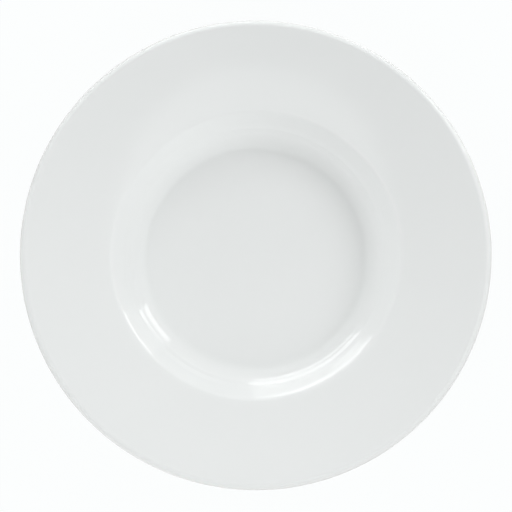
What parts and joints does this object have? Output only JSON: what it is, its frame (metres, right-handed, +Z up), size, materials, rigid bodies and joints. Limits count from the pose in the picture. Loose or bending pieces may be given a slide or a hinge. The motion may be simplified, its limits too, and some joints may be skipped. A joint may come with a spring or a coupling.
{
  "type": "rimmed soup plate",
  "caption": "Round white porcelain soup plate with a well, a wide rising rim and a bare foot ring; holds soup, pasta or other wet food.",
  "frame": {"origin": "centre of the circle in which the foot ring meets the table, on the plate's axis", "axes": "+Z up along the plate's axis of revolution; X and Y lie in the table, and the plate looks the same from every side"},
  "size_m": [0.24, 0.24, 0.029],
  "materials": {
    "porcelain": "matte",
    "glaze": "gloss"
  },
  "bodies": {
    "root": {"porcelain_body": "porcelain", "glaze_coat": "glaze", "base_glaze": "glaze"}
  },
  "joints": []
}
